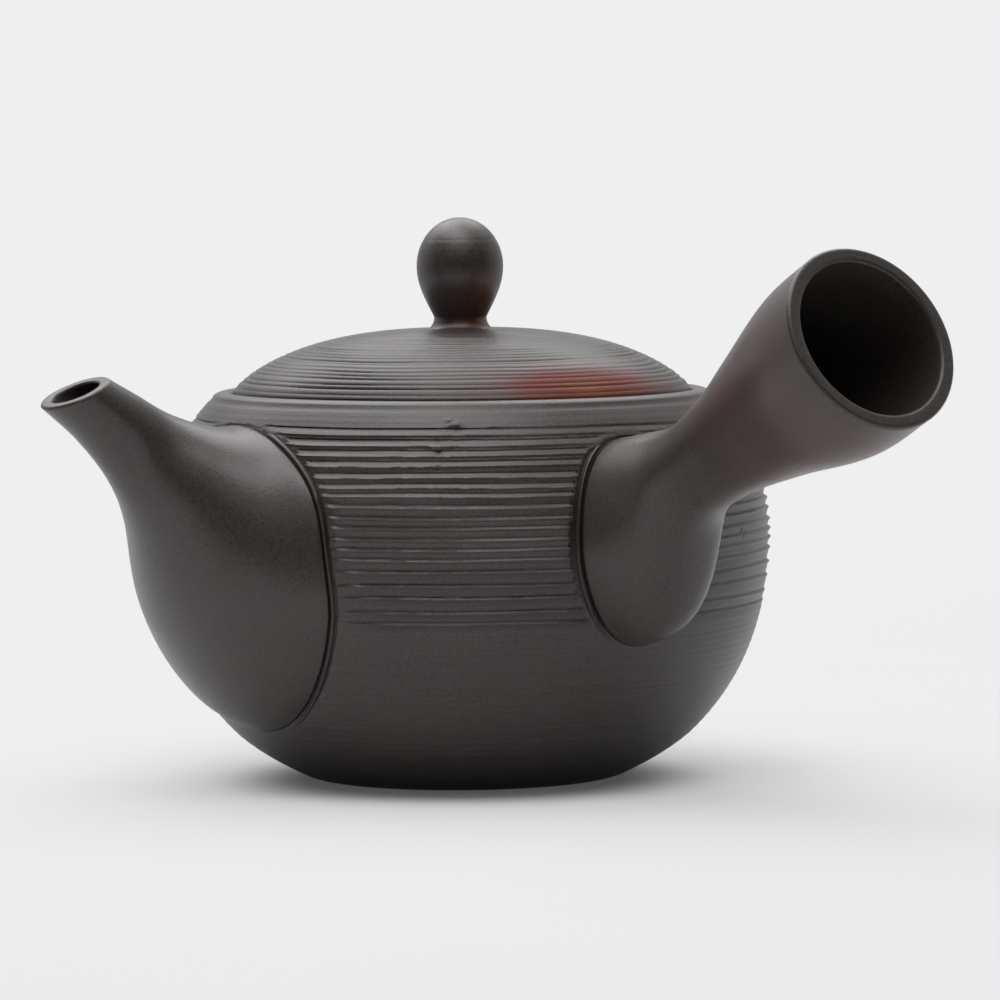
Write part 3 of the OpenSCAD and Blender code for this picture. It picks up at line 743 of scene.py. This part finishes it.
def body_profile():
    """Foot, wall, lip, ledge, inside and floor as one line; also comb depth, marks and 1 on the outside."""
    base = np.array([(1, 0), (12, 0), (20, 0), (float(wall_radius(np.array(0.0))) - foot_ease, 0)])
    combed, depth, mark = comb_steps(comb_heights, comb_force)
    comb_start, comb_end = combed[0], combed[-1]
    plain = np.linspace(foot_ease, fine_from, 8)[:-1]
    fine = np.arange(fine_from, comb_start - 0.1, fine_pitch / 4)
    upper = np.arange(comb_end, lip_low, fine_pitch / 4)[1:]
    z = np.concatenate([plain, fine, combed, upper])
    lower_ripple = fine_depth * hump(z, fine_from, fine_from + 4, comb_start - 2, comb_start)
    upper_ripple = shoulder_depth * hump(z, comb_end, comb_end + 0.6, lip_low - 1.4, lip_low - 0.6)
    ripple = (lower_ripple + upper_ripple) * (1 - np.cos(2 * np.pi * (z - fine_from) / fine_pitch)) / 2
    outside = wall_radius(z) - lip_step * eased(z, lip_low - 1.2, lip_low) - ripple
    a, b = np.linspace(lip_lean, np.pi / 2, 9)[1:], np.linspace(np.pi / 2, np.pi, 8)[1:-1]
    lip_w = (outside[-1] - lip_mid) / math.cos(lip_lean)
    lip_h = (lip_top - lip_low) / (1 - math.sin(lip_lean))
    lip_out = np.stack([lip_mid + lip_w * np.cos(a), lip_top - lip_h * (1 - np.sin(a))], -1)
    lip_back = np.stack([
        lip_mid + (lip_mid - lip_in) * np.cos(b), lip_low + (lip_top - lip_low) * np.sin(b),
    ], -1)
    lip = np.concatenate([lip_out, lip_back])
    slope_z = ledge_z - ledge_t - ledge_slope
    seat = rounded([
        (lip_in, lip_low), (lip_in, ledge_z), (throat_r, ledge_z), (throat_r, ledge_z - ledge_t),
        (float(wall_radius(np.array(slope_z), wall)), slope_z),
    ], seat_ease, 4)
    down = np.linspace(slope_z, floor_t + 1.5, 20)[1:]
    inside = np.stack([wall_radius(down, wall), down], -1)
    corner = (float(wall_radius(np.array(floor_t), wall)), floor_t)
    bottom = rounded([inside[-1], corner, (12, floor_t), (1, floor_t)], bottom_ease, 4)
    line = np.concatenate([base, np.stack([outside, z], -1), lip, seat, inside, bottom[1:]])
    cut, marked, skin = np.zeros((3, len(line)))
    outer, first = slice(len(base), len(base) + len(z)), len(base) + len(plain) + len(fine)
    stepped = slice(first, first + len(combed))
    cut[stepped], marked[stepped], skin[outer] = depth, mark, 1
    return line[:, 0], line[:, 1], cut, marked, skin


r, z, cut, marked, skin = (column[:, None] for column in body_profile())
print("body profile:", len(r), "points")

# %% [markdown]
# ## Columns where they are needed
# The grooves beside the two seams cut across the comb lines. A grid that is even all round would need
# thousands of columns to follow them, so the columns crowd where the seams run upright and thin out
# elsewhere: the angles are read off a running sum of a weight. They also crowd at the few places where a
# grain of grit was dragged along by the comb and tore the clay.

# %% Body columns
body_columns, crowd_gain, crowd_reach, crowd_steps, tear_pull = 300, 9.0, 0.03, 3601, 40
# Tears: degrees round the pot, height, half width and half height in millimetres
tears = [
    (-126.2, 61.2, 1.9, 0.5), (-127.6, 62.2, 1.0, 0.25), (-129.7, 57.7, 1.5, 0.45), (-129.9, 54.9, 1.0, 0.35),
    (-61.9, 41.9, 0.35, 0.5), (-135.9, 23.3, 0.3, 0.5),
]


def crowded(count, near):
    """Angles at even steps of the running sum of 1 + gain * (bells of a width round the given angles)."""
    fine = np.linspace(-np.pi, np.pi, crowd_steps)
    gap = (fine[:, None] - near[None] + np.pi) % (2 * np.pi) - np.pi
    bells = np.exp(-(gap / crowd_reach) ** 2).sum(1)
    weight = 1 + crowd_gain * bells / bells.max()
    total = np.concatenate([[0], np.cumsum((weight[1:] + weight[:-1]) / 2)])
    return np.interp(np.arange(count) / count * total[-1], total, fine)


seams = np.concatenate([spout_edge, handle_edge])
seam_turns = np.arctan2(seams[:, 1], seams[:, 0])
tear_turns = np.radians([tear[0] for tear in tears])
turn = crowded(body_columns, np.concatenate([seam_turns, np.repeat(tear_turns, tear_pull)]))[None]
apart = np.diff(turn[0]) * body_r
print(f"columns {apart.min():.2f} to {apart.max():.2f} mm apart")

# %% [markdown]
# ## Grooves, a smear and a few tears
# Every point of the plain wall is asked how far it is from each seam. Close to a seam the wall is cut down
# to the floor of the groove. A little further out, the wet finger that pressed the coil on has smoothed the
# comb lines away. The tears are small bells sunk into the wall, each with a raised flap of clay above it.
# As numbers on the grid they can all be added up to one depth, with no sculpting by hand.

# %% Grooves and tears
tear_grain, tear_even, tear_rough = 0.33, 0.6, 0.4
flap_shift, flap_wide, flap_up, flap_rough = 0.3, 0.7, 1.3, 0.5
score_from, score_to, trench_soft, wipe_before, wipe_after = 0.25, 0.55, 0.2, 0.1, 0.6
smear_top, smear_mid, smear_low = 1.0, 2.0, 6.0


def revolve(r, z, turn):
    """Points of a profile turned round Z: (r cos, r sin, z)."""
    r, z = np.broadcast_arrays(r + 0 * turn, z + 0 * turn)
    return np.stack([r * np.cos(turn), r * np.sin(turn), z], -1)


def seam_distance(points, edge):
    """Distance of every point to the nearest point of a seam, from |a|² + |b|² - 2 a·b."""
    a = points.reshape(-1, 3)
    square = (a ** 2).sum(1)[:, None] + (edge ** 2).sum(1)[None] - 2 * a @ edge.T
    return np.sqrt(np.maximum(square.min(1), 0)).reshape(points.shape[:-1])


def trench(near, edge, groove_w):
    """Share of the groove's depth: 1 close to the seam, 0 beyond the groove; a scored line at the top."""
    low, high = edge[:, 2].min(), edge[:, 2].max()
    force = pressed(z, low, high) * eased(z, low + 3, low + 12)
    end = bead_mid + bead_half + groove_w * force
    line = scored * eased(z, low + 2, low + 6) * (1 - eased(near, score_from, score_to))
    return np.maximum(force * (1 - eased(near, end - trench_soft, end + trench_soft)), line)


def torn(z, turn):
    """Sum over the tears of a sunk bell, broken up by a fast wave, less a raised bell above it, the flap."""
    total = 0
    for degrees, height, half_w, half_h in tears:
        along = (turn - math.radians(degrees)) * body_r
        sunk = np.exp(-(along / half_w) ** 2 - ((z - height) / half_h) ** 2)
        above = (z - height) / half_h - flap_up
        flap = np.exp(-((along / half_w + flap_shift) / flap_wide) ** 2 - above ** 2)
        rough = np.cos(along / tear_grain + 4 * (z - height))
        rough = rough * np.cos(0.6 * along / tear_grain - 5 * (z - height))
        total = total + sunk * (tear_even + tear_rough * rough) - flap * (1 + flap_rough * rough)
    return total


smooth_wall = revolve(r, z, turn)
near_spout, near_handle = seam_distance(smooth_wall, spout_edge), seam_distance(smooth_wall, handle_edge)
spout_groove_end, handle_groove_end = bead_mid + bead_half + np.array([spout_groove_w, handle_groove_w])
# A wet finger smoothed the comb lines beside the spout, more so lower down
smeared = smear_top + smear_mid * (1 - eased(z, 46, 54)) + smear_low * (1 - eased(z, 32, 42))
kept = eased(near_spout, spout_groove_end, spout_groove_end + smeared)
kept = kept * eased(near_handle, handle_groove_end - wipe_before, handle_groove_end + wipe_after)
spout_trench = trench(near_spout, spout_edge, spout_groove_w)
grooved = np.maximum(spout_trench, trench(near_handle, handle_edge, handle_groove_w))
tear = skin * torn(z, turn)
print(f"comb lines kept on {kept.mean():.0%} of the grid, {len(tears)} tears")

# %% [markdown]
# ## The wall as it stands
# Now everything comes together: the profile, shaken by the waves round the pot, less the comb's notches,
# the grooves and the tears. The notches get a trace of raggedness from seeded random numbers, so that they
# come out the same in every run. The marks for the finish go onto the same points.

# %% Body surface
tear_depth, tear_painted_shading, depth_wave, trench_extra, slip_share = 0.3, 0.6, 0.25, 0.2, 0.9
ragged_rng = np.random.default_rng(11)


def way_along(r, z):
    """Length of a profile from its start to each of its points."""
    return np.concatenate([[0], np.cumsum(np.hypot(np.diff(r), np.diff(z)))])


loose = skin * hump(z, 8, 28, 61, 64)
z_shaken = z + wave_mm * loose * shaken(z, turn, 0)
ragged = ragged_rng.normal(0, ragged_mm, near_spout.shape) * (cut != 0)
depth = (cut * (1 + depth_wave * shaken(z, turn, 1)) + ragged) * kept + tear_depth * tear
trench_depth = (groove_depth + trench_extra) * grooved
r_cut = r + skin * (wall_radius(z_shaken) - wall_radius(z) - trench_depth) - depth
along = way_along(r[:, 0], z[:, 0])[:, None]
# Painted shade in the notches, undercuts and sunk tears; painted highlight on treads, belly lands and tear
# flaps
shadowed = marked * kept * (1 - grooved) + tear_painted_shading * tear
# Red slip in the grooves, its dark tone partly painted shade
slip = slip_share * skin * grooved
body = make_piece("body_combed", revolve(r_cut, z_shaken, turn), along_mm=along, hollow=shadowed, slip=slip)
print("body grid:", *r_cut.shape, "deepest cut", round(float(depth.max()), 2), "mm")

# %% [markdown]
# ## Holes through the clay
# The potter cuts the tea's way into the spout and drills a steam vent in the lid while the clay is firm. A
# Boolean with a plain cylinder does the same here. It is applied at once and the cutter is thrown away.

# %% Drill
hole_sides, sharp_edge = 96, math.radians(60)


def drill(piece, place, towards, radius, length):
    """Cuts a round hole: a cylinder from a place along a direction is taken from the piece's solid."""
    axis = np.array(towards, float)
    across = np.cross(axis, [0, 0, 1] if abs(axis[2]) < 0.9 else [1, 0, 0])
    across /= np.linalg.norm(across)
    turn = np.linspace(0, 2 * np.pi, hole_sides, endpoint=False)[None, :, None]
    ring = radius * (np.cos(turn) * across + np.sin(turn) * np.cross(axis, across))
    cutter = make_piece("cutter", np.array(place) + ring + np.array([0, length])[:, None, None] * axis)
    hole = piece.modifiers.new("hole", "BOOLEAN")
    hole.operation, hole.solver, hole.object = "DIFFERENCE", "MANIFOLD", cutter
    whole = piece.data
    piece.data = bpy.data.meshes.new_from_object(piece.evaluated_get(bpy.context.evaluated_depsgraph_get()))
    piece.data.name = whole.name
    piece.modifiers.clear()
    bpy.data.meshes.remove(whole)
    bpy.data.meshes.remove(cutter.data)
    piece.data.set_sharp_from_angle(angle=sharp_edge)


strainer_bore, bore_length, seat_r, seat_x, drill_x = 10.0, 30, 12.2, 48.62, 30
drill(body, (-drill_x, 0, belly_z), (-1, 0, 0), strainer_bore, bore_length)
drill(body, (-drill_x, 0, belly_z), (-1, 0, 0), seat_r, seat_x - drill_x)
dress(body, "pot", "body", pot_clay)

# %% [markdown]
# ## The lid
# The lid is a dome a little fuller than a sphere. It has its own turned rings, an upright edge that drops
# inside the lip, and a skirt that keeps it from sliding off when the pot is tilted.

# %% Lid
lid_r, lid_edge_z, lid_rise, lid_t = 38.7, ledge_z + 2.0, 10.3, 3.2
dome_flat, dome_edge = 2.7, 0.78
skirt_r, skirt_t, skirt_depth = 35.3, 2.4, 6.0
knob_foot_r, gap_turn = 5.3, math.radians(-165)
ring_start, ring_pitch, ring_stray, ring_depth, ring_reach, ring_shape = 0.9, 1.2, 0.2, 0.14, 0.5, 1.5
lid_sides, crease_out, crease_half = 256, 0.8, 0.35


def dome(r):
    """Height of the dome: edge + rise * (1 - (r / R)^2.7)^0.78."""
    return lid_edge_z + lid_rise * np.maximum(1 - (r / lid_r) ** dome_flat, 0) ** dome_edge


def between(knots, steps):
    """Positions from knot to knot, closer together near the knots: a + (b - a) * (1 - cos(pi * f)) / 2."""
    f = (1 - np.cos(np.pi * np.arange(steps) / steps)) / 2
    inner = knots[:-1, None] + np.diff(knots)[:, None] * f
    return np.append(inner.ravel(), knots[-1])


def ring_cut(place, lines, force, reach, shape):
    """Depth at the nearest line, force * (1 - distance / reach)^shape, and its square root as the mark."""
    offset = np.abs(place[:, None] - lines[None])
    nearest = offset.argmin(1)
    cut = force[nearest] * (1 - np.minimum(offset.min(1) / reach, 1)) ** shape
    return cut, np.sqrt(cut)


fine_r = np.linspace(lid_r, knob_foot_r, 4000)
arc = way_along(fine_r, dome(fine_r))
rings = np.arange(ring_start, arc[-1] - 2, ring_pitch)
rings = rings + rng.uniform(-ring_stray, ring_stray, len(rings))
ring_force = rng.uniform(0.5, 1.3, len(rings))
s = between(np.concatenate([[0], rings, [arc[-1]]]), 6)
r_top, z_top = np.interp(s, arc, fine_r), dome(np.interp(s, arc, fine_r))
ring_depths, ring_marks = ring_cut(s, rings, ring_force, ring_reach, ring_shape)
# Painted shade in the crease round the knob's foot
crease = np.exp(-((r_top - knob_foot_r - crease_out) / crease_half) ** 2)
r_out = np.concatenate([[1, 3], r_top[::-1]])
z_out = np.concatenate([z_top[[-1, -1]], z_top[::-1]])
print(len(rings), "rings on", round(float(arc[-1]), 1), "mm of dome")

# %% Lid surface
ring_painted_shade, crease_painted_shade, ring_wave, ring_wave_mm = 0.75, 0.5, 0.3, 0.12
skirt_ease, edge_near = 0.4, 0.02
under_r = np.linspace(skirt_r - skirt_t, 1, 30)
under = np.stack([under_r, dome(under_r) - lid_t], -1)
skirt = rounded([
    (lid_r, lid_edge_z), (lid_r, ledge_z), (skirt_r, ledge_z), (skirt_r, ledge_z - skirt_depth),
    (skirt_r - skirt_t, ledge_z - skirt_depth), tuple(under[0]),
], skirt_ease)
line = np.concatenate([np.stack([r_out, z_out], -1), skirt[1:], under[1:]])
turn = np.linspace(0, 2 * np.pi, lid_sides, endpoint=False)[None]
r, z = line[:, :1], line[:, 1:]
along = way_along(r[:, 0], z[:, 0])[:, None]
cut, marked, sway = np.zeros((3, len(line), 1))
top = slice(2, len(r_out))
cut[top, 0] = ring_depths[::-1]
# Painted shade in the ring grooves and in that crease
marked[top, 0] = ring_painted_shade * ring_marks[::-1] + crease_painted_shade * crease[::-1]
sway[top, 0] = hump(r_top[::-1], 6, 12, 34, 37)
slope_r, slope_z = (np.gradient(v[:, 0], along[:, 0])[:, None] for v in (r, z))
depth = ring_depth * cut * (1 + ring_wave * shaken(r, turn, 1))
r_shaken = r + ring_wave_mm * sway * shaken(r, turn, 0)
z_shaken = z + (sway > 0) * (dome(r_shaken) - dome(r))
lid_points = revolve(r_shaken + depth * slope_z, z_shaken - depth * slope_r, turn)
on_edge = (r > lid_r - edge_near) * (z < lid_edge_z + edge_near)
# Painted shade on the lid's upright edge, in the gap between lid and lip, strongest towards one side
side = on_edge * np.maximum(np.cos(turn - gap_turn), 0) ** 2
lid = make_piece("lid_turned", lid_points[::-1], along_mm=along[::-1], hollow=np.maximum(marked, side)[::-1])
print("lid grid:", *lid_points.shape[:2], "deepest ring", round(float(depth.max()), 2), "mm")

# %% [markdown]
# ## The flash on the lid
# Where the flame touched the lid it burnt the clay red and orange. The flash follows the edge, so it is
# placed by the distance from the axis and the angle round it. Streaks run along the turned rings, because
# the ridges took the fire and the grooves did not. Burnt clay is also rougher, so it mirrors less of the
# white room and its colour shows. The whole lid is a little drier than the pot.

# %% Lid finish
flash_r_mm, flash_turn = 37.5, math.radians(-92)
flash_reach_mm, flash_spread, burnt_roughness, dry_ior = 6.5, math.radians(34), 0.6, 1.48
wander_mm, wander_share, streak_share, streaks_per_mm = 9.0, 0.4, 0.7, 1.3
burnt_to, burnt_from = 1.45, 0.9
# Drier clay with a red and orange burn that stays matt, so it glows where the rest mirrors white
lid_clay, lid_skin = stoneware("flashed_stoneware", "#4d4643", "#443e3c", 0.36, 0.02)
lid_skin.inputs["IOR"].default_value = dry_ior
tree = lid_clay.node_tree
place = add(tree, "TexCoord", {}).outputs["Object"]
x, y, _ = add(tree, "SeparateXYZ", {0: place}).outputs
flat = add(tree, "VectorMath", {0: place, 1: (1, 1, 0)}, operation="MULTIPLY").outputs[0]
from_axis = add(tree, "VectorMath", {0: flat}, operation="LENGTH").outputs["Value"]
angle = add(tree, "Math", {0: y, 1: x}, operation="ARCTAN2").outputs[0]
offset_r = add(tree, "Math", {0: from_axis, 1: flash_r_mm * MM}, operation="SUBTRACT").outputs[0]
offset_r = add(tree, "Math", {0: offset_r, 1: per(flash_reach_mm)}, operation="MULTIPLY").outputs[0]
offset_a = add(tree, "Math", {0: angle, 1: flash_turn}, operation="SUBTRACT").outputs[0]
offset_a = add(tree, "Math", {0: offset_a, 1: 1 / flash_spread}, operation="MULTIPLY").outputs[0]
spread = add(tree, "CombineXYZ", {0: offset_r, 1: offset_a}).outputs[0]
away = add(tree, "VectorMath", {0: spread}, operation="LENGTH").outputs["Value"]
wander = add(tree, "TexNoise", {"Vector": place, "Scale": per(wander_mm), "Detail": 3.0}).outputs["Fac"]
away = add(tree, "Math", {0: wander, 1: wander_share, 2: away}, operation="MULTIPLY_ADD").outputs[0]
along_ring = add(tree, "Attribute", {}, attribute_name="along_mm").outputs["Fac"]
ring_tone = add(tree, "TexNoise", {
    "W": along_ring, "Scale": streaks_per_mm, "Detail": 2.0,
}, noise_dimensions="1D").outputs["Fac"]
streaked = add(tree, "Math", {0: ring_tone, 1: streak_share, 2: away}, operation="MULTIPLY_ADD").outputs[0]
for tint, inner, outer in [("#5a423f", 0.95, 2.1), ("#722d20", 0.85, 1.5), ("#80471e", 0.45, 0.8)]:
    mask = add(tree, "MapRange", {
        "Value": streaked, "From Min": outer, "From Max": inner,
    }, interpolation_type="SMOOTHSTEP").outputs[0]
    flush(tree, lid_skin, mask, tint)
burnt = add(tree, "MapRange", {
    "Value": streaked, "From Min": burnt_to, "From Max": burnt_from,
}, interpolation_type="SMOOTHSTEP").outputs[0]
polish = lid_skin.inputs["Roughness"].links[0].from_socket
rough = add(tree, "Mix", {0: burnt, 2: polish, 3: burnt_roughness}, data_type="FLOAT").outputs[0]
tree.links.new(rough, lid_skin.inputs["Roughness"])
vent_r, vent_length, vent_place_r, vent_turn = 1.5, 20, 24.0, math.radians(55)
vent_place = (vent_place_r * math.cos(vent_turn), vent_place_r * math.sin(vent_turn), ledge_z)
drill(lid, vent_place, (0, 0, 1), vent_r, vent_length)
dress(lid, "lid", "lid", lid_clay)

# %% [markdown]
# ## The knob
# A ball drawn up a little, on a short neck that spreads where it is luted on the lid, a hair off the axis.
# Its cap was turned with the edge of a rib, which left a fine line, painted paler as a highlight. The flame
# that flashed the lid also browned the knob's lower side. Fingers have polished it.

# %% Knob
knob_neck_r, knob_neck_h, knob_r, knob_wide_h, knob_h, knob_swell = 4.45, 1.9, 7.35, 10.5, 18.75, 1.03
knob_flare, knob_sink, knob_set = 0.95, 0.3, picture_right * -0.18
knob_lines, knob_line_depth, knob_line_half = np.array([15.0]), 0.03, 0.2
knob_sides, line_painted_highlight = 160, -0.2
pad_z = float(dome(np.array(knob_foot_r)))
s = np.linspace(0, 1, 60)
flare = knob_foot_r + knob_flare - knob_neck_r
u = s[::4]
neck = np.stack([
    knob_neck_r + flare * (1 - np.sqrt(1 - (1 - u) ** 2)), knob_neck_h * u - knob_sink * (1 - u),
], -1)
swell = np.stack([
    knob_neck_r + (knob_r - knob_neck_r) * np.sin(np.pi / 2 * s) ** knob_swell,
    knob_neck_h + (knob_wide_h - knob_neck_h) * s,
], -1)
cap = np.stack([
    knob_r * np.cos(np.pi / 2 * s), knob_wide_h + (knob_h - knob_wide_h) * np.sin(np.pi / 2 * s),
], -1)
line = np.concatenate([[[1, -knob_sink], [3, -knob_sink]], neck, swell[1:], cap[1:-1]])
step = np.exp(-((line[:, 1:] - knob_lines) / knob_line_half) ** 2).max(1, keepdims=True)
r, z = line[:, :1] - knob_line_depth * step, line[:, 1:] + pad_z
turn = np.linspace(0, 2 * np.pi, knob_sides, endpoint=False)[None]
along = way_along(r[:, 0], z[:, 0])[:, None]
knob_points = revolve(r, z, turn) + np.array(knob_set)
# The turned line gets a painted highlight
knob = make_piece("knob_turned", knob_points, along_mm=along, hollow=line_painted_highlight * step)
print("knob", 2 * knob_r, "mm wide and", knob_h, "mm high")

# %% Knob finish
handled_ior = 1.65
# Clay polished by fingers: a stronger highlight than the pot's, over a brown blush from the fire
knob_clay, knob_skin = stoneware("browned_stoneware", "#4a433f", "#413a38", 0.36, 0.012)
knob_skin.inputs["IOR"].default_value = handled_ior
tree = knob_clay.node_tree
place = add(tree, "TexCoord", {}).outputs["Object"]
brown_middle, brown_reach = (0.5 * MM, -5.5 * MM, (pad_z + 3.5) * MM), (7.5 * MM, 7.5 * MM, 8.5 * MM)
local = add(tree, "Mapping", {
    "Vector": place, "Location": brown_middle, "Scale": brown_reach,
}, vector_type="TEXTURE").outputs[0]
glow = add(tree, "TexGradient", {"Vector": local}, gradient_type="SPHERICAL").outputs["Fac"]
mask = add(tree, "MapRange", {"Value": glow, "From Max": 0.8}, interpolation_type="SMOOTHSTEP").outputs[0]
flush(tree, knob_skin, mask, "#653619")
dress(knob, "lid", "knob", knob_clay)

# %% [markdown]
# ## The strainer
# The pierced dome behind the spout keeps its CAD shape and gets the pot's clay, without turning lines.

# %% Strainer
# Rough clay that was never wiped: flat and dark inside the pot
strainer_clay, _ = stoneware("pierced_stoneware", "#4b4542", "#423c3a", 0.5, 0.0)
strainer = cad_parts["strainer"]
strainer.data.materials.clear()
strainer.data.materials.append(strainer_clay)
print("strainer:", len(strainer.data.polygons), "faces")
